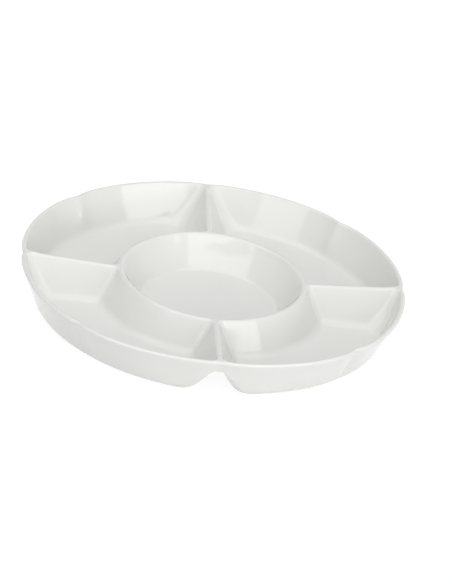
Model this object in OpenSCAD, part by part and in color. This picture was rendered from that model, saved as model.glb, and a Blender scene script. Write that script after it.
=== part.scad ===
// A round dish for serving snacks: four curved compartments lie round a centre bowl, inside a
// shallow wall with eight soft pinches in it. The real dish is one glazed ceramic body of even
// thickness, hollow underneath wherever a ridge stands on top. It is parted here along its own
// lines: the rim, the four dividers and the centre ring stand above the web, which is the level
// where the solid ridges end, and the cups of the compartments and the bowl hang below it.
// Each cup rests on an unglazed foot. The front of the dish faces -Y, and Z is 0 on the table.

/* [Overall] */
// Diameter over the lip, taken between a lobe and a pinch
rim_d = 300; // [260:1:340]
// Height from the table to the top of the lip
dish_h = 35; // [32:0.5:41]
// Thickness of the fired wall, square to its face
wall = 3.3; // [2.6:0.1:4]
// Thickness of the floor of the compartments and of the bowl
floor_t = 4.4; // [3.6:0.1:6]

/* [Outer wall] */
// Lean of the outer wall away from upright, in degrees
wall_draft = 24; // [18:1:29]
// How far the lobes between two pinches swell out
lobe_swell = 1.1; // [0:0.1:2]
// How far a pinch half way between two dividers draws in
pinch_depth = 2.4; // [0:0.1:4]
// How far the pinch at the end of a divider draws in
divider_pinch = 1.6; // [0:0.1:3]
// Half of a pinch's width, where it is half as deep
pinch_w = 7; // [5:0.5:12]
// How far the lip rises at a divider and falls between two
rim_wave = 0.5; // [0:0.1:1]

/* [Ring and bowl] */
// Diameter of the crest of the ring round the centre bowl
ring_d = 140.6; // [120:0.2:160]
// How far the ring's crest lies below the lip
ring_drop = 4.7; // [2:0.1:6]
// Lean of the ring's face towards the compartments, in degrees
ring_draft = 31; // [20:1:36]
// Lean of the ring's face towards the bowl, in degrees
bowl_draft = 33; // [20:1:40]
// How far the ring's crest bows out at the dividers
ring_bow = 0.7; // [0:0.1:1]

/* [Dividers] */
// Width of a divider's or the ring's crest, between its two faces
crest_w = 3.2; // [2.8:0.1:4]
// Lean of a divider's faces, in degrees
divider_draft = 29; // [20:1:33]
// Depth of the web below the lip, where the hollow under the dividers begins
web_depth = 10; // [9:0.5:13]
// Rounding of the lip and the crests
crest_round = 1.2; // [0.6:0.1:1.3]

/* [Compartments] */
// Corner radius at the lip, seen from above
lip_corner = 8; // [6:0.5:11]
// Corner radius at the floor, next to the outer wall
floor_corner = 13; // [11:0.5:15]
// Corner radius next to the ring
ring_corner = 5; // [4:0.5:7]
// Height of the rounding between a wall and the floor
floor_round = 4; // [3:0.5:6]
// Height of the rounding under the bowl's floor line, inside the bowl
bowl_round = 7; // [4:0.5:9]
// Height of the rounding along the lower edge outside
base_round = 5; // [3:0.5:7]
// Corner radius of the notch under the end of a divider, at the web
notch_corner = 2; // [1.5:0.5:5]
// Corner radius of the notch at the base
notch_base_corner = 13.5; // [12:0.5:18]

/* [Feet] */
// Height of the unglazed foot under a cup
foot_h = 1.6; // [0.8:0.1:2.5]
// Width of the foot
foot_w = 3.5; // [2:0.5:5]
// Distance of the foot from the edge of the flat base
foot_inset = 2; // [1:0.5:3]
// Least corner radius of the foot, seen from below
foot_corner = 0.8; // [0.4:0.1:1.5]

/* [Hidden] */
// Compass names of the dividers, turning from +X, and of the compartments between them
SIDES = ["right", "back", "left", "front"];
QUARTERS = ["back_right", "back_left", "front_left", "front_right"];

glaze = "#f1f1ee";
biscuit = "#e6dfd2";

// Points along each corner, along the long sides of a compartment, and up a wall or a rounding
corner_n = 4;
arc_n = 20;
rise_n = 2;
round_n = 4;
// Smoothness of the true circles
$fn = 96;

// Space between the end of a divider and the first point of a corner beside it
cut_gap = 1.5;

rim_r = rim_d / 2;
ring_r = ring_d / 2;
lip_w = wall / cos(wall_draft);
lip_in_r = rim_r - lip_w;
ring_out_r = ring_r + crest_w / 2;
ring_in_r = ring_r - crest_w / 2;
bowl_out_r = ring_in_r + wall / cos(bowl_draft);
base_z = foot_h;
floor_z = base_z + floor_t;
web_z = dish_h - web_depth;
ring_top = dish_h - ring_drop;

// A divider's crest climbs in a straight line from the ring to the lip
crest_slope = ring_drop / (lip_in_r - ring_out_r);
crest_start = ring_top - crest_slope * ring_out_r;
side_tilt = atan(crest_slope * tan(divider_draft));
pinch_a = pinch_w / rim_r * 180 / PI;

function mix(a, b, t) = a + (b - a) * t;
// Goes smoothly from 0 to 1 as x goes from a to b
function ease(x, a, b) = let (t = min(max((x - a) / (b - a), 0), 1)) t * t * (3 - 2 * t);
// Angle from the nearest multiple of 90 degrees
function from_quarter(a) = a - 90 * round(a / 90);
function dip(a) = 1 / (1 + pow(a / pinch_a, 2));
function crest_z(r) = crest_start + crest_slope * min(max(r, ring_out_r), lip_in_r);

// Sideways run of a face that leans by draft from its top edge down to height z, where it
// turns into the flat at height low through a rounding that is round_h high
function turn_r(draft, round_h) = round_h / (1 - sin(draft));
function run(z, top, low, draft, round_h) =
    z >= low + round_h
        ? (top - z) * tan(draft)
        : let (r = turn_r(draft, round_h))
          (top - low) * tan(draft) + r * tan(45 - draft / 2) - sqrt(r * r - pow(r - z + low, 2));
// The part of the run that the rounding adds to a straight face
function turn_in(z, low, draft, round_h) = run(z, low, low, draft, round_h) - (low - z) * tan(draft);

// Flutes of the outer wall: every point near it moves in or out with the pinches and lobes,
// and the lip rises and falls. The ring's crest bows a little in the same way.
function flute(a) =
    -lobe_swell * cos(4 * a)
    - pinch_depth * dip(from_quarter(a - 45))
    - divider_pinch * dip(from_quarter(a));
function place(p) =
    let (
        r = norm([p.x, p.y]),
        a = atan2(p.y, p.x),
        near_wall = ease(r, flute_from, flute_to),
        near_ring = 1 - ease(r, ring_out_r, divider_in),
        up = max(p.z - web_z, 0) / web_depth,
        up_ring = max(p.z - web_z, 0) / (ring_top - web_z),
        shift = flute(a) * near_wall + ring_bow * cos(4 * a) * near_ring * up_ring
    )
    [p.x + shift * cos(a), p.y + shift * sin(a), p.z + rim_wave * cos(4 * a) * near_wall * up];

// Outline of a compartment between the +X and +Y dividers, as five measures: outer radius,
// ring radius, half width of the dividers carried on to their start, outer corner radius and
// ring corner radius. The inside face has one such outline at each height, and so has the
// outside face.
function inside_at(z) = [
    lip_in_r - run(z, dish_h, floor_z, wall_draft, floor_round),
    ring_out_r + run(z, ring_top, floor_z, ring_draft, floor_round),
    crest_w / 2 + run(z, crest_start, floor_z, divider_draft, floor_round),
    mix(floor_corner, lip_corner, (z - floor_z) / (dish_h - floor_z))
        - turn_in(z, floor_z, wall_draft, floor_round),
    ring_corner
];
function outside_at(z) = [
    rim_r - run(z, dish_h, base_z, wall_draft, base_round),
    ring_out_r - wall / cos(ring_draft) + run(z, ring_top, base_z, ring_draft, base_round),
    crest_w / 2 - wall / cos(divider_draft)
        + run(z, crest_start, base_z, divider_draft, base_round),
    mix(notch_base_corner, notch_corner, (z - base_z) / (web_z - base_z))
        - turn_in(z, base_z, wall_draft, base_round),
    ring_corner + wall
];
// The same outline drawn in by a distance
function drawn_in(m, d) =
    [m[0] - d, m[1] + d, m[2] + d, max(m[3] - d, foot_corner), max(m[4] - d, foot_corner)];
// Half width of a divider at a place along it
function side_at(m, x) = m[2] + x * tan(side_tilt);

// Centre of a corner, from its distance to the dish's middle and to the divider's midline
function corner_at(reach, away) =
    let (along = sqrt(reach * reach - away * away))
    [along * cos(side_tilt) - away * sin(side_tilt), along * sin(side_tilt) + away * cos(side_tilt)];
function outer_corner(m) = corner_at(m[0] - m[3], m[2] * cos(side_tilt) + m[3]);
function inner_corner(m) = corner_at(m[1] + m[4], m[2] * cos(side_tilt) + m[4]);
function angle_of(p) = atan2(p.y, p.x);
function ray(a) = [cos(a), sin(a)];

// A chain is a list of places along an outline, each with the direction that faces out of the
// compartment there. Both chains turn from the +X divider to the +Y one, where they mirror.
function corner_turn(c, r, from, to) = [
    for (i = [0:corner_n])
        let (d = ray(mix(from, to, i / corner_n)))
        [c + r * d, d]
];
// Angles between a and its mirror image, closer together at the pinch half way
function sweep(a) = [
    for (i = [1:arc_n - 1])
        let (u = 2 * i / arc_n - 1)
        45 + (45 - a) * sign(u) * pow(abs(u), 1.5)
];
function swapped(p) = [p.y, p.x];
function both_ends(half, middle) = concat(
    half,
    middle,
    [for (i = [len(half) - 1:-1:0]) [swapped(half[i][0]), swapped(half[i][1])]]
);
function wall_chain(m) =
    let (c = outer_corner(m))
    both_ends(
        corner_turn(c, m[3], side_tilt - 90, angle_of(c)),
        [for (a = sweep(angle_of(c))) [m[0] * ray(a), ray(a)]]
    );
function ring_chain(m) =
    let (c = inner_corner(m))
    both_ends(
        corner_turn(c, m[4], side_tilt - 90, angle_of(c) - 180),
        [for (a = sweep(angle_of(c))) [m[1] * ray(a), -ray(a)]]
    );
function places(chain) = [for (c = chain) c[0]];
function reversed(list) = [for (i = [len(list) - 1:-1:0]) list[i]];
function outline(m) = concat(places(wall_chain(m)), reversed(places(ring_chain(m))));

// The web's outlines, the length of a divider between its cut ends, and where the flutes fade
web_in = inside_at(web_z);
divider_out = wall_chain(web_in)[0][0].x - cut_gap;
divider_in = ring_chain(web_in)[0][0].x + cut_gap;
flute_from = norm([divider_out, side_at(web_in, divider_out)]);
flute_to = web_in[0];

// Points up a leaning face from the web to its rounded top edge at height top. The face passes
// through lo at the web and through hi at height hi_z, and its edge rounds over towards dir.
edge_n = 2;
function on_face(lo, hi, hi_z, z) =
    let (t = (z - web_z) / (hi_z - web_z))
    [mix(lo.x, hi.x, t), mix(lo.y, hi.y, t), z];
function face_up(lo, hi, hi_z, dir, top) =
    let (
        start = top - crest_round,
        edge = on_face(lo, hi, hi_z, start)
    )
    concat(
        [for (j = [0:rise_n]) on_face(lo, hi, hi_z, mix(web_z, start, j / rise_n))],
        [
            for (k = [1:edge_n])
                let (turn = 90 * k / edge_n)
                edge + crest_round * [dir.x * (1 - cos(turn)), dir.y * (1 - cos(turn)), sin(turn)]
        ]
    );
// The face of a divider at a place along it, on its +Y side
function divider_face(x) = face_up(
    [x, side_at(web_in, x)],
    [x, side_at(inside_at(dish_h), x)],
    dish_h,
    [0, -1],
    crest_z(x)
);

// Columns of the rim and of the ring for one quarter turn: the middle of the +X divider's cut
// end, its +Y edge, the chain of the compartment, and the first edge of the next divider
function cut_column(x, side) = [for (p = divider_face(x)) [p.x, p.y * side, p.z]];
function chain_columns(lo, hi, hi_z) = [
    for (i = [0:len(lo) - 1])
        face_up(lo[i][0], hi[i][0], hi_z, hi[i][1], crest_z(norm(hi[i][0])))
];
function turned(p, a) = [p.x * cos(a) - p.y * sin(a), p.x * sin(a) + p.y * cos(a), p.z];
function quarter(x, lo, hi, hi_z) = concat(
    [cut_column(x, 0), cut_column(x, 1)],
    chain_columns(lo, hi, hi_z),
    [[for (p = cut_column(x, -1)) turned(p, 90)]]
);
// Columns of the plain round face that backs them, at angles that keep pace with them
function pace(columns, a) = let (n = len(columns)) [
    for (i = [0:n - 1])
        i == 0 ? 0
        : i == 1 ? a / 2
        : i == n - 1 ? 90 - a / 2
        : angle_of(columns[i][0])
];
function backing(angles, lo_r, hi_r, hi_z, side, top) = [
    for (a = angles) face_up(lo_r * ray(a), hi_r * ray(a), hi_z, side * ray(a), top)
];
function all_round(columns) = [for (k = [0:3]) for (c = columns) [for (p = c) turned(p, 90 * k)]];
// Turns columns of points into level loops
function rows(columns) = [for (j = [0:len(columns[0]) - 1]) [for (c = columns) c[j]]];

// Triangles between two neighbouring loops of n points
function strip(a, b, n) = [
    for (i = [0:n - 1])
        let (k = (i + 1) % n)
        each [[a * n + i, a * n + k, b * n + k], [a * n + i, b * n + k, b * n + i]]
];
// Triangles across an outline of n points that starts at index first, from its outer chain to
// its inner one
function lid(first, n) = [
    for (i = [0:n / 2 - 2])
        let (j = n - 1 - i)
        each [
            [first + i, first + i + 1, first + j - 1],
            [first + i, first + j - 1, first + j]
        ]
];
function flipped(faces) = [for (f = faces) [f[2], f[1], f[0]]];
module solid(loops, faces) {
    polyhedron(points = [for (l = loops) for (p = l) place(p)], faces = faces);
}
// A band that closes on itself, such as the rim
module band(columns) {
    loops = rows(all_round(columns));
    m = len(loops);
    n = len(loops[0]);
    solid(loops, [for (j = [0:m - 1]) each strip(j, (j + 1) % m, n)]);
}

// Heights of a cup's loops, from its flat at height low up to the web
function levels(low, round_h) = concat(
    [for (k = [0:round_n]) low + round_h * pow(k / round_n, 2)],
    [for (j = [1:rise_n]) mix(low + round_h, web_z, j / rise_n)]
);
function level_loop(m, z) = [for (p = outline(m)) [p.x, p.y, z]];

// The wall's top band with its rounded lip, and the flared roots of the dividers
module outer_rim() {
    inner = quarter(divider_out, wall_chain(web_in), wall_chain(inside_at(dish_h)), dish_h);
    angles = pace(inner, angle_of(inner[2][0]));
    web_r = rim_r - web_depth * tan(wall_draft);
    outer = backing(angles, web_r, rim_r, dish_h, -1, dish_h);
    color(glaze)
        band([for (i = [0:len(inner) - 1]) concat(inner[i], reversed(outer[i]))]);
}

// The raised ring round the centre bowl, with the flared inner roots of the dividers
module centre_ring() {
    outer = quarter(divider_in, ring_chain(web_in), ring_chain(inside_at(ring_top)), ring_top);
    angles = pace(outer, angle_of(outer[2][0]));
    web_r = ring_in_r - (ring_top - web_z) * tan(bowl_draft);
    inner = backing(angles, web_r, ring_in_r, ring_top, 1, ring_top);
    color(glaze)
        band([for (i = [0:len(outer) - 1]) concat(inner[i], reversed(outer[i]))]);
}

// One divider between the flared roots, which climbs from the ring to the rim
module divider(k) {
    section_in = concat(cut_column(divider_in, 1), reversed(cut_column(divider_in, -1)));
    section_out = concat(cut_column(divider_out, 1), reversed(cut_column(divider_out, -1)));
    n = len(section_in);
    color(glaze)
        rotate(90 * k)
            solid(
                [section_in, section_out],
                concat(flipped(strip(0, 1, n)), lid(0, n), flipped(lid(n, n)))
            );
}

// One compartment's cup below the web, as a shell of even thickness
module compartment(k) {
    inside = [for (z = levels(floor_z, floor_round)) level_loop(inside_at(z), z)];
    outside = [for (z = levels(base_z, base_round)) level_loop(outside_at(z), z)];
    loops = concat(inside, reversed(outside));
    m = len(loops);
    n = len(loops[0]);
    color(glaze)
        rotate(90 * k)
            solid(loops, concat(
                flipped(lid(0, n)),
                [for (j = [0:m - 2]) each strip(j, j + 1, n)],
                lid((m - 1) * n, n)
            ));
}

// The round cup of the centre bowl below the web
module centre_bowl() {
    inside = [
        for (z = levels(floor_z, bowl_round))
            [ring_in_r - run(z, ring_top, floor_z, bowl_draft, bowl_round), z]
    ];
    outside = [
        for (z = levels(base_z, bowl_round))
            [bowl_out_r - run(z, ring_top, base_z, bowl_draft, bowl_round), z]
    ];
    color(glaze)
        rotate_extrude()
            polygon(concat([[0, base_z]], outside, reversed(inside), [[0, floor_z]]));
}

// The unglazed foot under a compartment
module foot(k) {
    flat = outside_at(base_z);
    color(biscuit)
        rotate(90 * k)
            linear_extrude(foot_h)
                difference() {
                    polygon(outline(drawn_in(flat, foot_inset)));
                    polygon(outline(drawn_in(flat, foot_inset + foot_w)));
                }
}

// The unglazed foot under the centre bowl
module foot_centre() {
    flat_r = bowl_out_r - run(base_z, ring_top, base_z, bowl_draft, bowl_round);
    color(biscuit)
        rotate_extrude()
            translate([flat_r - foot_inset - foot_w, 0])
                square([foot_w, foot_h]);
}

outer_rim();
centre_ring();
centre_bowl();
divider(0);  // divider_right
divider(1);  // divider_back
divider(2);  // divider_left
divider(3);  // divider_front
compartment(0);  // compartment_back_right
compartment(1);  // compartment_back_left
compartment(2);  // compartment_front_left
compartment(3);  // compartment_front_right
foot(0);  // foot_back_right
foot(1);  // foot_back_left
foot(2);  // foot_front_left
foot(3);  // foot_front_right
foot_centre();
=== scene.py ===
from collections import namedtuple
import math

import bpy
import numpy as np
from mathutils import Matrix, Vector


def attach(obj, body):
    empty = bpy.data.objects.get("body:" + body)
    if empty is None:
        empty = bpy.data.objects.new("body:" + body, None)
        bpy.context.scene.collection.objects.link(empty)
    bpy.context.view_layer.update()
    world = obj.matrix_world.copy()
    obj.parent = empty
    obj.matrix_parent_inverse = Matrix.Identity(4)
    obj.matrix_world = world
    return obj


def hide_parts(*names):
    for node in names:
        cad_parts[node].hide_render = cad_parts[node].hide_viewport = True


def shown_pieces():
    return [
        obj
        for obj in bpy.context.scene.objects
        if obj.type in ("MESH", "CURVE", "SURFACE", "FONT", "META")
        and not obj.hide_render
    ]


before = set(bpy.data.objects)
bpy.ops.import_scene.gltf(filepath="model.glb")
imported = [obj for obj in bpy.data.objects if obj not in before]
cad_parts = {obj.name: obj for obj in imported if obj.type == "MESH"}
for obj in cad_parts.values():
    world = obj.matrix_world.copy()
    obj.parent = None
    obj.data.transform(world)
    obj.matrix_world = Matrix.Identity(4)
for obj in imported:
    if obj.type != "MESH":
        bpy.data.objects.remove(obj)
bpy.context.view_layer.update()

# Photograph's view
# A long lens looks down at the dish at 27 degrees from a little left of its front divider, and
# the dish stands a little turned in the picture. Lengths here and below are in millimetres.
MM = 0.001
DISH_H = 35.0
PHOTO_W, PHOTO_H = 452, 584
focal_px = 3902.83
azimuth, elevation, roll = math.radians(-5.7747), math.radians(27.2383), math.radians(8.3173)
distance = 2986.9
aim_right, aim_up = 0.003927, -0.005214

back = Vector((math.sin(azimuth) * math.cos(elevation),
               -math.cos(azimuth) * math.cos(elevation),
               math.sin(elevation)))
right = (-back).cross(Vector((0, 0, 1))).normalized()
up = right.cross(-back)
ahead = (-back + aim_right * right + aim_up * up).normalized()
right = ahead.cross(up).normalized()
up = right.cross(ahead).normalized()
turned_right = math.cos(roll) * right + math.sin(roll) * up
turned_up = -math.sin(roll) * right + math.cos(roll) * up

camera = bpy.data.objects.new("camera", bpy.data.cameras.new("camera"))
bpy.context.scene.collection.objects.link(camera)
camera.data.sensor_width = 36
camera.data.lens = focal_px * camera.data.sensor_width / max(PHOTO_W, PHOTO_H)
camera.data.clip_start, camera.data.clip_end = 0.1, 50
place_mm = back * distance + Vector((0, 0, DISH_H))
axes = Matrix((turned_right, turned_up, -ahead)).transposed().to_4x4()
camera.matrix_world = Matrix.Translation(place_mm * MM) @ axes
bpy.context.scene.camera = camera

# Glaze
# Clear white feldspathic glaze over a white porcelain body, dipped and fired at about 1300 C.
# It is smooth as glass, with a faint unevenness a few millimetres wide that bends reflections.


def linear(hex_colour):
    """An sRGB hex colour as the linear one that Blender works in."""
    parts = [int(hex_colour[i:i + 2], 16) / 255 for i in (1, 3, 5)]
    return [c / 12.92 if c <= 0.04045 else ((c + 0.055) / 1.055) ** 2.4 for c in parts] + [1]


def add(tree, kind, settings=None, inputs=None):
    """Adds a node; an input is a value, or a (node, output) pair to link."""
    made = tree.nodes.new(kind)
    for name, value in (settings or {}).items():
        setattr(made, name, value)
    for name, value in (inputs or {}).items():
        if isinstance(value, tuple) and isinstance(value[0], bpy.types.Node):
            tree.links.new(value[0].outputs[value[1]], made.inputs[name])
        else:
            made.inputs[name].default_value = value
    return made


def new_material(name):
    made = bpy.data.materials.new(name)
    made.use_nodes = True
    made.node_tree.nodes.clear()
    return made


GLAZE_WHITE = "#e6e6e4"
GLAZE_THICK = "#e3e4e0"
POOL_MM = 34
DIMPLE_MM = 9


def white_glaze():
    """Glazed porcelain: a dense white body under a glassy skin that mirrors the lamps as pale
    windows with crisp edges, and is a shade greyer where the glaze pooled thicker."""
    made = new_material("glazed_porcelain")
    tree = made.node_tree
    where = add(tree, "ShaderNodeTexCoord")
    pools = add(tree, "ShaderNodeTexNoise", {}, {
        "Vector": (where, "Object"), "Scale": 1000 / POOL_MM, "Detail": 2, "Roughness": 0.5})
    tint = add(tree, "ShaderNodeMix", {"data_type": "RGBA"}, {"Factor": (pools, "Fac")})
    tint.inputs["A"].default_value = linear(GLAZE_WHITE)
    tint.inputs["B"].default_value = linear(GLAZE_THICK)
    dimples = add(tree, "ShaderNodeTexNoise", {}, {
        "Vector": (where, "Object"), "Scale": 1000 / DIMPLE_MM, "Detail": 1, "Roughness": 0.4})
    relief = add(tree, "ShaderNodeBump", {}, {
        "Height": (dimples, "Fac"), "Strength": 0.05, "Distance": 0.002})
    shader = add(tree, "ShaderNodeBsdfPrincipled", {}, {
        "Base Color": (tint, "Result"), "Roughness": 0.07, "IOR": 1.5,
        "Normal": (relief, "Normal")})
    add(tree, "ShaderNodeOutputMaterial", {}, {"Surface": (shader, "BSDF")})
    return made


glaze = white_glaze()

# Outer rim
# The top band of the wall: a rounded lip that runs on into the flared outer roots of the four
# dividers. Clay, formed with the rest of the body; eight soft pinches flute it.
RIM_R = 150.0
WALL = 3.3
WALL_DRAFT = 24.0
LOBE_SWELL = 1.1
PINCH_DEPTH = 2.4
DIVIDER_PINCH = 1.6
PINCH_W = 7.0
RIM_WAVE = 0.5
WEB_DEPTH = 10.0
RING_R = 70.3
RING_DROP = 4.7
RING_DRAFT = 31.0
RING_BOW = 0.7
CREST_W = 3.2
DIVIDER_DRAFT = 29.0
LIP_CORNER = 5.0
FLOOR_CORNER = 13.0
RING_CORNER = 5.0
FLOOR_ROUND = 4.0
FOOT_H = 1.6
FLOOR_T = 4.4
CUT_GAP = 1.5
LIP_ROUND = 1.6
LIP_FLARE = 0.4
CREST_ROUND = 2.6
CREST_BEND = 3.0
GROWTH_POWER = 1.5
CROWDING_POWER = 1.5
CORNER_N = 14
ARC_N = 90
RISE_N = 6
EDGE_N = 9
TOP_N = 8
END_N = 3
LEAD_N = 8


def lean(draft):
    """Sideways run for each unit of height of a face that leans by draft degrees."""
    return math.tan(math.radians(draft))


def level_wall(draft):
    """The wall's thickness measured level, where it leans by draft degrees."""
    return WALL / math.cos(math.radians(draft))


LIP_IN_R = RIM_R - level_wall(WALL_DRAFT)
RING_OUT_R = RING_R + CREST_W / 2
RING_IN_R = RING_R - CREST_W / 2
BASE_Z = FOOT_H
FLOOR_Z = BASE_Z + FLOOR_T
WAVE_FROM = FLOOR_Z + FLOOR_ROUND
WEB_Z = DISH_H - WEB_DEPTH
RING_BOW_FROM = WEB_Z - 1
RING_TOP = DISH_H - RING_DROP
CREST_SLOPE = RING_DROP / (LIP_IN_R - RING_OUT_R)
CREST_START = RING_TOP - CREST_SLOPE * RING_OUT_R
SIDE_TILT = math.atan(CREST_SLOPE * lean(DIVIDER_DRAFT))
PINCH_A = math.degrees(PINCH_W / RIM_R)


def ease(x, a, b):
    t = np.clip((x - a) / (b - a), 0, 1)
    return t * t * (3 - 2 * t)


def dip(a):
    """A pinch's share of its depth at angle a from its middle."""
    return 1 / (1 + (a / PINCH_A) ** 2)


def flute(a):
    """How far the wall stands out or in at each angle, in degrees."""
    return (-LOBE_SWELL * np.cos(np.radians(4 * a))
            - PINCH_DEPTH * dip((a - 45) - 90 * np.round((a - 45) / 90))
            - DIVIDER_PINCH * dip(a - 90 * np.round(a / 90)))


def place(p):
    """Puts the flutes of the wall, the wave of the lip and the bow of the ring into plain points."""
    r = np.hypot(p[..., 0], p[..., 1])
    a = np.degrees(np.arctan2(p[..., 1], p[..., 0]))
    near_wall = ease(r, FLUTE_FROM, FLUTE_TO)
    near_ring = 1 - ease(r, RING_OUT_R, DIVIDER_IN)
    wave = np.cos(np.radians(4 * a))
    grown = lambda low, top: np.clip((p[..., 2] - low) / (top - low), 0, None) ** GROWTH_POWER
    shift = flute(a) * near_wall + RING_BOW * wave * near_ring * grown(RING_BOW_FROM, RING_TOP)
    return np.stack([p[..., 0] + shift * np.cos(np.radians(a)),
                     p[..., 1] + shift * np.sin(np.radians(a)),
                     p[..., 2] + RIM_WAVE * wave * near_wall * grown(WAVE_FROM, DISH_H)], -1)


def run(z, top, low, draft, round_h):
    """Sideways run of a leaning face down to height z, where a rounding takes it into a flat."""
    if z >= low + round_h:
        return (top - z) * lean(draft)
    d = math.radians(draft)
    r = round_h / (1 - math.sin(d))
    return ((top - low) * lean(draft) + r * math.tan(math.pi / 4 - d / 2)
            - math.sqrt(max(r * r - (r - z + low) ** 2, 0)))


def turn_in(z, low, draft, round_h):
    """How far the rounding alone moves such a face sideways at height z."""
    return run(z, low, low, draft, round_h) - (low - z) * lean(draft)


# A compartment's level outline: the radii of its wall and ring, half the width that a divider
# would have at the dish's middle, and the radii of the corners at the wall and at the ring.
Outline = namedtuple("Outline", "wall_r ring_r half_w wall_corner ring_corner")


def inside_at(z):
    """A compartment's inside outline at height z."""
    q = (z - FLOOR_Z) / (DISH_H - FLOOR_Z)
    return Outline(
        wall_r=LIP_IN_R - run(z, DISH_H, FLOOR_Z, WALL_DRAFT, FLOOR_ROUND),
        ring_r=RING_OUT_R + run(z, RING_TOP, FLOOR_Z, RING_DRAFT, FLOOR_ROUND),
        half_w=CREST_W / 2 + run(z, CREST_START, FLOOR_Z, DIVIDER_DRAFT, FLOOR_ROUND),
        wall_corner=(FLOOR_CORNER + (LIP_CORNER - FLOOR_CORNER) * q
                     - turn_in(z, FLOOR_Z, WALL_DRAFT, FLOOR_ROUND)),
        ring_corner=RING_CORNER)


def side_at(outline, x):
    """Half the divider's width at place x along it."""
    return outline.half_w + x * math.tan(SIDE_TILT)


def corner_at(reach, away):
    """The point at radius reach, and at distance away from the line through the dish's middle
    that runs with the divider's side."""
    along = math.sqrt(reach * reach - away * away)
    c, s = math.cos(SIDE_TILT), math.sin(SIDE_TILT)
    return np.array([along * c - away * s, along * s + away * c])


def ray(a):
    return np.stack([np.cos(np.radians(a)), np.sin(np.radians(a))], -1)


def chain(outline, by_wall):
    """The outline's stretch along the wall or along the ring, from the +X divider to the +Y one:
    its places, and at each the direction that faces out of the compartment."""
    half_w = outline.half_w * math.cos(SIDE_TILT)
    if by_wall:
        reach, corner_r, sign = outline.wall_r, outline.wall_corner, 1
        centre = corner_at(reach - corner_r, half_w + corner_r)
    else:
        reach, corner_r, sign = outline.ring_r, outline.ring_corner, -1
        centre = corner_at(reach + corner_r, half_w + corner_r)
    a = math.degrees(math.atan2(centre[1], centre[0]))
    last = a if by_wall else a - 180
    turn = ray(np.linspace(math.degrees(SIDE_TILT) - 90, last, CORNER_N + 1))
    u = np.linspace(-1, 1, ARC_N + 1)[1:-1]
    middle = ray(45 + (45 - a) * np.sign(u) * np.abs(u) ** CROWDING_POWER)
    places = np.concatenate([centre + corner_r * turn, reach * middle,
                             (centre + corner_r * turn)[::-1, ::-1]])
    ways = np.concatenate([turn, sign * middle, turn[::-1, ::-1]])
    return places, ways


web_in = inside_at(WEB_Z)
DIVIDER_OUT = chain(web_in, True)[0][0, 0] - CUT_GAP
DIVIDER_IN = chain(web_in, False)[0][0, 0] + CUT_GAP
FLUTE_FROM = math.hypot(DIVIDER_OUT, side_at(web_in, DIVIDER_OUT))
FLUTE_TO = web_in.wall_r


def crest_z(r):
    """Height of the crests and the lip at radius r; the two meet in a gentle bend."""
    t = LIP_IN_R - np.asarray(r, float)
    drop = np.where(np.abs(t) < CREST_BEND, (t + CREST_BEND) ** 2 / (4 * CREST_BEND),
                    np.maximum(t, 0))
    return np.maximum(DISH_H - CREST_SLOPE * drop, RING_TOP)


def face_up(lo, hi, hi_z, way, top, edge_r):
    """Rows of points up leaning faces, one column for each lo, from the web to the top edge,
    which rounds over towards way in an arc that meets face and top smoothly."""
    per_mm = (hi - lo) / (hi_z - WEB_Z)
    d = np.arctan((per_mm * way).sum(-1))
    at = lambda z: lo + per_mm * (z - WEB_Z)[:, None]
    start = top - edge_r * (1 - np.sin(d))
    rows = []
    for j in range(RISE_N + 1):
        z = WEB_Z + (start - WEB_Z) * j / RISE_N
        rows.append(np.column_stack([at(z), z]))
    middle = at(top) + way * (edge_r * (1 - np.sin(d)) / np.cos(d))[:, None]
    for k in range(1, EDGE_N + 1):
        turn = d + (np.pi / 2 - d) * k / EDGE_N
        rows.append(np.column_stack([middle - way * (edge_r * np.cos(turn))[:, None],
                                     top + edge_r * (np.sin(turn) - 1)]))
    return np.array(rows)


def divider_face(x):
    """One divider's +Y face at places x along it."""
    x = np.atleast_1d(np.asarray(x, float))
    lo = np.column_stack([x, side_at(web_in, x)])
    hi = np.column_stack([x, side_at(inside_at(DISH_H), x)])
    way = np.tile([0.0, -1.0], (len(x), 1))
    return face_up(lo, hi, DISH_H, way, crest_z(x), CREST_ROUND)


def turned(p, quarters):
    """The points turned by whole quarter turns about the dish's middle."""
    c, s = [(1, 0), (0, 1), (-1, 0), (0, -1)][quarters % 4]
    return np.stack([p[..., 0] * c - p[..., 1] * s, p[..., 0] * s + p[..., 1] * c, p[..., 2]], -1)


def led(row, start):
    """The row with a few more columns at either end, from a divider's end up to the row's own."""
    t = np.arange(1, LEAD_N)[:, None] / LEAD_N
    lead = np.array(start) + (row[0] - np.array(start)) * t
    return np.concatenate([lead, row, lead[::-1, ::-1]])


def quarter(x, by_wall, hi_outline, hi_z, edge_r):
    """Rows of one quarter of the rim or ring: half of the +X divider's end, the stretch along
    the compartment, and half of the next divider's end."""
    lo, ways = chain(web_in, by_wall)
    lo = led(lo, [x, side_at(web_in, x)])
    hi = led(chain(hi_outline, by_wall)[0], [x, side_at(hi_outline, x)])
    ways = led(ways, [0, -1])
    top = crest_z(np.hypot(hi[:, 0], hi[:, 1]))
    from_end = np.minimum(np.arange(len(lo)), np.arange(len(lo))[::-1]) + 1
    edge = CREST_ROUND + (edge_r - CREST_ROUND) * np.minimum(from_end / (CORNER_N + LEAD_N), 1)
    stretch = face_up(lo, hi, hi_z, ways, top, edge)
    end = divider_face(x)[:, 0]
    first = np.stack([end * [1, k / END_N, 1] for k in range(END_N + 1)], 1)
    last = turned(np.stack([end * [1, -k / END_N, 1] for k in range(END_N, 0, -1)], 1), 1)
    return np.concatenate([first, stretch, last], 1)


def pace(rows):
    """Angles for the plain round face behind those columns, in step with their top edge."""
    return np.degrees(np.arctan2(rows[-1, :, 1], rows[-1, :, 0]))


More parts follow.
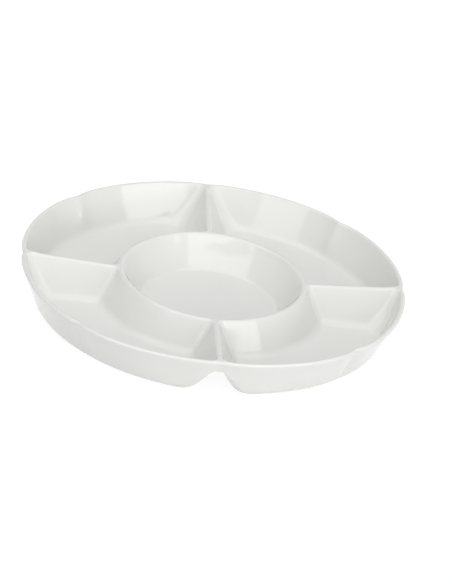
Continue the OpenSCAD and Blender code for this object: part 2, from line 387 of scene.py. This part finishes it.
def over(inner, outer):
    """Rows across the top from the inner edge to the outer one, at the crests' height."""
    a, b = inner[-1], outer[-1]
    rows = []
    za, zb = crest_z(np.hypot(a[:, 0], a[:, 1])), crest_z(np.hypot(b[:, 0], b[:, 1]))
    for k in range(1, TOP_N):
        t = k / TOP_N
        xy = a[:, :2] + (b[:, :2] - a[:, :2]) * t
        z = crest_z(np.hypot(xy[:, 0], xy[:, 1]))
        lift = (a[:, 2] - za) * (1 - t) + (b[:, 2] - zb) * t
        rows.append(np.column_stack([xy, z + lift]))
    return np.array(rows)


def new_piece(name, points, skin, hidden):
    """A mesh piece of plain points in mm; skin faces are glazed, hidden ones are the joints."""
    mesh = bpy.data.meshes.new(name)
    mesh.from_pydata((place(points) * MM).tolist(), [], skin + hidden)
    mesh.polygons.foreach_set("use_smooth", [True] * len(skin) + [False] * len(hidden))
    piece = bpy.data.objects.new(name, mesh)
    piece["skin"] = len(skin)
    bpy.context.scene.collection.objects.link(piece)
    return piece


def strip(a, b, around):
    """Quads between two closed rows of points that start at indices a and b."""
    return [(b + i, b + (i + 1) % around, a + (i + 1) % around, a + i) for i in range(around)]


def band(inner, outer, cut_rows):
    """A band that closes on itself: up its inner rows, over the top and down its outer rows.
    The dividers are cut off it along cut_rows, at either end of each quarter."""
    rows = np.concatenate([inner, over(inner, outer), outer[::-1]])
    rows = np.concatenate([turned(rows, k) for k in range(4)], 1)
    count, around = rows.shape[:2]
    per = around // 4
    skin, hidden = [], []
    for j in range(count):
        for i, face in enumerate(strip(j * around, (j + 1) % count * around, around)):
            at_end = (i % per < END_N or i % per >= per - END_N) and j in cut_rows
            (hidden if at_end or j == count - 1 else skin).append(face)
    return rows.reshape(-1, 3), skin, hidden


def dress(piece, material, slot, *nodes):
    piece.data.materials.append(material)
    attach(piece, "root")
    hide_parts(*nodes)


inner = quarter(DIVIDER_OUT, True, inside_at(DISH_H), DISH_H, LIP_ROUND)
angles = pace(inner)
web_r = RIM_R - WEB_DEPTH * lean(WALL_DRAFT)
outer = face_up(web_r * ray(angles), (RIM_R + LIP_FLARE) * ray(angles), DISH_H, -ray(angles),
                np.full(len(angles), DISH_H), LIP_ROUND)
piece = new_piece("outer_rim_glazed", *band(inner, outer, range(len(inner) - 1)))
dress(piece, glaze, "glaze", "outer_rim")

# Centre ring
# The raised ring between the bowl and the compartments, with the inner roots of the dividers.
# Clay, part of the same fired body; its crest lies a little below the lip.
BOWL_LEAN_TOP = 29.5
BOWL_LEAN_LOW = 36.5
BOWL_TURN_R = 3.5


def sine(degrees):
    return math.sin(math.radians(degrees))


BOWL_TURN_H = BOWL_TURN_R * (1 - sine(BOWL_LEAN_LOW))
BOWL_ARC_R = ((RING_TOP - FLOOR_Z - BOWL_TURN_H)
              / (sine(BOWL_LEAN_LOW) - sine(BOWL_LEAN_TOP)))


def bowl_r(z):
    """The bowl's inside radius at height z: one long arc down the wall, then a tight one that
    turns into the floor."""
    cosine = lambda s: math.sqrt(max(1 - s * s, 0))
    at_turn = min(sine(BOWL_LEAN_TOP) + (RING_TOP - z) / BOWL_ARC_R, sine(BOWL_LEAN_LOW))
    wall = BOWL_ARC_R * (cosine(sine(BOWL_LEAN_TOP)) - cosine(at_turn))
    turn_top = FLOOR_Z + BOWL_TURN_H
    if z >= turn_top:
        return RING_IN_R - wall
    below = sine(BOWL_LEAN_LOW) + (turn_top - z) / BOWL_TURN_R
    return RING_IN_R - wall - BOWL_TURN_R * (cosine(sine(BOWL_LEAN_LOW)) - cosine(min(below, 1)))


outer = quarter(DIVIDER_IN, False, inside_at(RING_TOP), RING_TOP, CREST_ROUND)
angles = pace(outer)
web_r = bowl_r(WEB_Z)
inner = face_up(web_r * ray(angles), RING_IN_R * ray(angles), RING_TOP, ray(angles),
                np.full(len(angles), RING_TOP), CREST_ROUND)
last_row = len(inner) + len(outer) + TOP_N - 2
outer_rows = range(last_row - len(outer) + 1, last_row)
piece = new_piece("centre_ring_glazed", *band(inner, outer, outer_rows))
dress(piece, glaze, "glaze", "centre_ring")

# Dividers
# Four straight ridges from the ring to the rim, narrow and round on top, with leaning faces.
# Clay; hollow underneath, below the web.
DIVIDER_N = 12
for k, side in enumerate(("right", "back", "left", "front")):
    face = divider_face(np.linspace(DIVIDER_IN, DIVIDER_OUT, DIVIDER_N + 1))
    rows = np.concatenate([face, (face * [1, -1, 1])[::-1]])
    count, along = rows.shape[:2]
    skin = [((j + 1) * along + i, (j + 1) * along + i + 1, j * along + i + 1, j * along + i)
            for j in range(count - 1) for i in range(along - 1)]
    far = (count - 1) * along
    under = [(i, i + 1, far + i + 1, far + i) for i in range(along - 1)]
    ends = []
    for i, order in ((0, -1), (along - 1, 1)):
        for j in range(len(face) - 1):
            ends.append((j * along + i, (j + 1) * along + i,
                         (count - 2 - j) * along + i, (count - 1 - j) * along + i)[::order])
    piece = new_piece(f"divider_{side}_glazed", turned(rows, k).reshape(-1, 3), skin, under + ends)
    dress(piece, glaze, "glaze", f"divider_{side}")

# Compartments
# Four curved cups for the food, as shells of even thickness that hang below the web.
# Clay under the same glaze; the floor is flat and turns up into the walls in a soft rounding.
BASE_ROUND = 5.0
NOTCH_CORNER = 2.0
NOTCH_BASE_CORNER = 11.0
ARCH_R = 5.5
ARCH_RUN = ARCH_R * math.tan(math.radians(45 - DIVIDER_DRAFT / 2))
ARCH_H = ARCH_RUN * math.cos(math.radians(DIVIDER_DRAFT))
ROUND_N = 12
CUP_RISE_N = 8


def arch(z):
    """How far the hollow under a divider closes in at height z, where it arches over."""
    if z < WEB_Z - ARCH_H:
        return 0
    return (ARCH_RUN + (WEB_Z - z) * lean(DIVIDER_DRAFT)
            - math.sqrt(max(ARCH_R ** 2 - (z - WEB_Z + ARCH_R) ** 2, 0)))


def outside_at(z):
    """A compartment's outside outline at height z."""
    q = (z - BASE_Z) / (WEB_Z - BASE_Z)
    return Outline(
        wall_r=RIM_R - run(z, DISH_H, BASE_Z, WALL_DRAFT, BASE_ROUND),
        ring_r=(RING_OUT_R - level_wall(RING_DRAFT)
                + run(z, RING_TOP, BASE_Z, RING_DRAFT, BASE_ROUND)),
        half_w=(CREST_W / 2 - level_wall(DIVIDER_DRAFT)
                + run(z, CREST_START, BASE_Z, DIVIDER_DRAFT, BASE_ROUND) - arch(z)),
        wall_corner=(NOTCH_BASE_CORNER + (NOTCH_CORNER - NOTCH_BASE_CORNER) * q
                     - turn_in(z, BASE_Z, WALL_DRAFT, BASE_ROUND)),
        ring_corner=RING_CORNER + WALL)


def levels(low, round_h, arch_h=0):
    """Heights of a cup's rows: close together in the rounding below and in the arch above."""
    straight = WEB_Z - arch_h - low - round_h
    return ([low + round_h * (k / ROUND_N) ** 2 for k in range(ROUND_N + 1)]
            + [low + round_h + straight * j / CUP_RISE_N for j in range(1, CUP_RISE_N + 1)]
            + [WEB_Z - arch_h * (1 - k / ROUND_N) ** 2 for k in range(1, ROUND_N + 1) if arch_h])


def level_loop(outline, z):
    """The whole outline as a closed row of points at height z."""
    loop = np.concatenate([chain(outline, True)[0], chain(outline, False)[0][::-1]])
    return np.column_stack([loop, np.full(len(loop), z)])


def lid(first, around):
    """Quads across an outline, from its stretch along the wall to the one along the ring."""
    return [(first + i, first + i + 1, first + around - 2 - i, first + around - 1 - i)
            for i in range(around // 2 - 1)]


for k, place_name in enumerate(("back_right", "back_left", "front_left", "front_right")):
    inside = [level_loop(inside_at(z), z) for z in levels(FLOOR_Z, FLOOR_ROUND)]
    outside = [level_loop(outside_at(z), z) for z in levels(BASE_Z, BASE_ROUND, ARCH_H)]
    rows = np.array(inside + outside[::-1])
    count, around = rows.shape[:2]
    skin, hidden = lid(0, around), []
    for j in range(count - 1):
        target = hidden if j == len(inside) - 1 else skin
        target += strip(j * around, (j + 1) * around, around)
    skin += [face[::-1] for face in lid((count - 1) * around, around)]
    piece = new_piece(f"compartment_{place_name}_glazed", turned(rows, k).reshape(-1, 3),
                      skin, hidden)
    dress(piece, glaze, "glaze", f"compartment_{place_name}")

# Centre bowl
# The round cup in the middle, below the web. Clay under the same glaze; inside, its wall curves
# a little and turns tightly into the flat floor, and outside it is a plain cone with a soft turn.
BOWL_DRAFT = 33.0
BOWL_ROUND = 7.0
BOWL_N = 192
BOWL_OUT_R = RING_IN_R + level_wall(BOWL_DRAFT)
bowl_rays = ray(np.arange(BOWL_N) * 360 / BOWL_N)


def circle_row(r, z):
    return np.column_stack([r * bowl_rays, np.full(BOWL_N, z)])


inside = [circle_row(bowl_r(z), z) for z in levels(FLOOR_Z, BOWL_TURN_H)]
outside = [circle_row(BOWL_OUT_R - run(z, RING_TOP, BASE_Z, BOWL_DRAFT, BOWL_ROUND), z)
           for z in levels(BASE_Z, BOWL_ROUND)]
rows = np.array(inside + outside[::-1])
count, around = rows.shape[:2]
skin, hidden = [tuple(range(around))], []
for j in range(count - 1):
    target = hidden if j == len(inside) - 1 else skin
    target += strip(j * around, (j + 1) * around, around)
skin.append(tuple(range((count - 1) * around, count * around))[::-1])
piece = new_piece("centre_bowl_glazed", rows.reshape(-1, 3), skin, hidden)
dress(piece, glaze, "glaze", "centre_bowl")

# Feet
# Low bare rings under each cup, wiped clean of glaze before firing so that the dish doesn't
# stick to the kiln shelf. Biscuit porcelain, matt and a little warmer than the glaze.
FOOT_W = 3.5
FOOT_INSET = 2.0
FOOT_CORNER = 0.8
FOOT_EDGE = 0.5
FOOT_EDGE_N = 4
BISCUIT = "#e4ded2"
BISCUIT_DARK = "#d6cfc1"
GRAIN_MM = 0.8


def bare_biscuit():
    """Unglazed fired porcelain: matt, and faintly mottled by a fine sandy grain."""
    made = new_material("biscuit_porcelain")
    tree = made.node_tree
    where = add(tree, "ShaderNodeTexCoord")
    grain = add(tree, "ShaderNodeTexNoise", {}, {
        "Vector": (where, "Object"), "Scale": 1000 / GRAIN_MM, "Detail": 4, "Roughness": 0.7})
    tint = add(tree, "ShaderNodeMix", {"data_type": "RGBA"}, {"Factor": (grain, "Fac")})
    tint.inputs["A"].default_value = linear(BISCUIT)
    tint.inputs["B"].default_value = linear(BISCUIT_DARK)
    relief = add(tree, "ShaderNodeBump", {}, {
        "Height": (grain, "Fac"), "Strength": 0.4, "Distance": 0.0002})
    shader = add(tree, "ShaderNodeBsdfPrincipled", {}, {
        "Base Color": (tint, "Result"), "Roughness": 0.85, "IOR": 1.5,
        "Normal": (relief, "Normal")})
    add(tree, "ShaderNodeOutputMaterial", {}, {"Surface": (shader, "BSDF")})
    return made


biscuit = bare_biscuit()


def foot_steps():
    """A foot's section: how far in from the flat's edge, and the height, at each point."""
    turn = [math.radians(90 * k / FOOT_EDGE_N) for k in range(FOOT_EDGE_N + 1)]
    down = [(FOOT_EDGE * (1 - math.cos(t)), FOOT_EDGE * (1 - math.sin(t))) for t in turn]
    away = [(FOOT_INSET + x, z) for x, z in down]
    near = [(FOOT_INSET + FOOT_W - x, z) for x, z in down[::-1]]
    return [(FOOT_INSET, FOOT_H)] + away + near + [(FOOT_INSET + FOOT_W, FOOT_H)]


def drawn_in(outline, d):
    """The outline moved inwards by d on every side."""
    return Outline(outline.wall_r - d, outline.ring_r + d, outline.half_w + d,
                   max(outline.wall_corner - d, FOOT_CORNER),
                   max(outline.ring_corner - d, FOOT_CORNER))


def foot_piece(name, rows):
    count, around = rows.shape[:2]
    skin = []
    for j in range(count - 1):
        skin += strip(j * around, (j + 1) * around, around)
    hidden = strip((count - 1) * around, 0, around)
    return new_piece(name, rows.reshape(-1, 3), skin, hidden)


flat = outside_at(BASE_Z)
for k, place_name in enumerate(("back_right", "back_left", "front_left", "front_right")):
    rows = np.array([level_loop(drawn_in(flat, d), z) for d, z in foot_steps()])
    piece = foot_piece(f"foot_{place_name}_bare", turned(rows, k))
    dress(piece, biscuit, "bare_foot", f"foot_{place_name}")
flat_r = BOWL_OUT_R - run(BASE_Z, RING_TOP, BASE_Z, BOWL_DRAFT, BOWL_ROUND)
rows = np.array([circle_row(flat_r - d, z) for d, z in foot_steps()])
piece = foot_piece("foot_centre_bare", rows)
dress(piece, biscuit, "bare_foot", "foot_centre")

# Unbroken skin
# The glaze runs over every joint, so the light turns smoothly from one piece to the next:
# faces that meet at a point of the skin share one direction there.
glazed = [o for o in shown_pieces() if "skin" in o and o.name.endswith("_glazed")]


def spot_keys(mesh):
    """Each vertex's place to a thousandth of a mm, the same for all vertices that touch."""
    spots = np.empty(len(mesh.vertices) * 3)
    mesh.vertices.foreach_get("co", spots)
    return [tuple(p) for p in np.round(spots.reshape(-1, 3) / MM, 3).tolist()]


shared = {}
for piece in glazed:
    keys = spot_keys(piece.data)
    for polygon in piece.data.polygons[:piece["skin"]]:
        weighted = np.array(polygon.normal) * polygon.area
        for v in polygon.vertices:
            shared[keys[v]] = shared.get(keys[v], 0) + weighted
for piece in glazed:
    keys = spot_keys(piece.data)
    corners = []
    for i, polygon in enumerate(piece.data.polygons):
        for v in polygon.vertices:
            way = shared[keys[v]] if i < piece["skin"] else np.array(polygon.normal)
            corners.append(way / max(np.linalg.norm(way), 1e-12))
    piece.data.normals_split_custom_set(corners)

# Table and light
# A plain white table and backdrop, lit by soft boxes over the front edge, at each side of the
# camera, overhead and at both sides, and by the white room. The camera and the glaze's
# reflections see table and room as plain white, brighter than they light the dish.
bpy.context.scene.view_settings.view_transform = "Standard"
TABLE_WHITE = "#f4f4f4"
TABLE_M = 3.0
TABLE_GLOW = 1.1
GLOW_SHARE = 0.85


def seen_white(tree):
    """1 for the rays that see the background: the camera's, and those off gloss or through glass."""
    path = add(tree, "ShaderNodeLightPath")
    direct = add(tree, "ShaderNodeMath", {"operation": "MAXIMUM"}, {
        0: (path, "Is Camera Ray"), 1: (path, "Is Glossy Ray")})
    return add(tree, "ShaderNodeMath", {"operation": "MAXIMUM"}, {
        0: (direct, 0), 1: (path, "Is Transmission Ray")})


table_mesh = bpy.data.meshes.new("table")
table_corners = [(x * TABLE_M, y * TABLE_M, 0) for x, y in ((-1, -1), (1, -1), (1, 1), (-1, 1))]
table_mesh.from_pydata(table_corners, [], [(0, 1, 2, 3)])
table = bpy.data.objects.new("table", table_mesh)
bpy.context.scene.collection.objects.link(table)
paper = new_material("table_paper")
tree = paper.node_tree
matt = add(tree, "ShaderNodeBsdfDiffuse", {}, {"Color": linear(TABLE_WHITE)})
glow = add(tree, "ShaderNodeEmission", {}, {"Strength": TABLE_GLOW})
lifted = add(tree, "ShaderNodeMixShader", {}, {0: GLOW_SHARE, 1: (matt, 0), 2: (glow, 0)})
choice = add(tree, "ShaderNodeMixShader", {}, {
    0: (seen_white(tree), 0), 1: (matt, 0), 2: (lifted, 0)})
add(tree, "ShaderNodeOutputMaterial", {}, {"Surface": (choice, 0)})
table_mesh.materials.append(paper)

ROOM_WHITE = "#ffffff"
ROOM_LIGHT = 0.26
ROOM_SEEN = 1.0
world = bpy.data.worlds.new("studio")
bpy.context.scene.world = world
world.use_nodes = True
tree = world.node_tree
tree.nodes.clear()
room = add(tree, "ShaderNodeBackground", {}, {
    "Color": linear(ROOM_WHITE), "Strength": ROOM_LIGHT})
white = add(tree, "ShaderNodeBackground", {}, {
    "Color": linear(ROOM_WHITE), "Strength": ROOM_SEEN})
choice = add(tree, "ShaderNodeMixShader", {}, {
    0: (seen_white(tree), 0), 1: (room, 0), 2: (white, 0)})
add(tree, "ShaderNodeOutputWorld", {}, {"Surface": (choice, 0)})

LAMP_M = 4.0


def soft_box(name, toward, height, wide, tall, radiance):
    """A rectangular lamp at an angle round from +X and a height above the table, wide and tall
    as seen from the dish, all four in degrees."""
    data = bpy.data.lights.new(name, "AREA")
    data.shape = "RECTANGLE"
    data.size, data.size_y = (2 * LAMP_M * math.tan(math.radians(a / 2)) for a in (wide, tall))
    data.energy = radiance * math.pi * data.size * data.size_y
    lamp = bpy.data.objects.new(name, data)
    bpy.context.scene.collection.objects.link(lamp)
    a, e = math.radians(toward), math.radians(height)
    way = Vector((math.cos(a) * math.cos(e), math.sin(a) * math.cos(e), math.sin(e)))
    lamp.location = way * LAMP_M
    lamp.rotation_euler = way.to_track_quat("Z", "Y").to_euler()
    lamp.visible_camera = False


soft_box("right_box", 304.5, 22, 40, 17, 2.5)
soft_box("low_right_box", 318, 7, 46, 12, 3.6)
soft_box("left_box", 229, 15, 30, 26, 1.6)
soft_box("front_box", 257, 48, 78, 16, 1.75)
soft_box("top_box", 258, 86, 62, 54, 1.0)
soft_box("left_side_box", 186, 54, 26, 22, 1.3)
soft_box("right_side_box", 330, 54, 26, 22, 1.0)
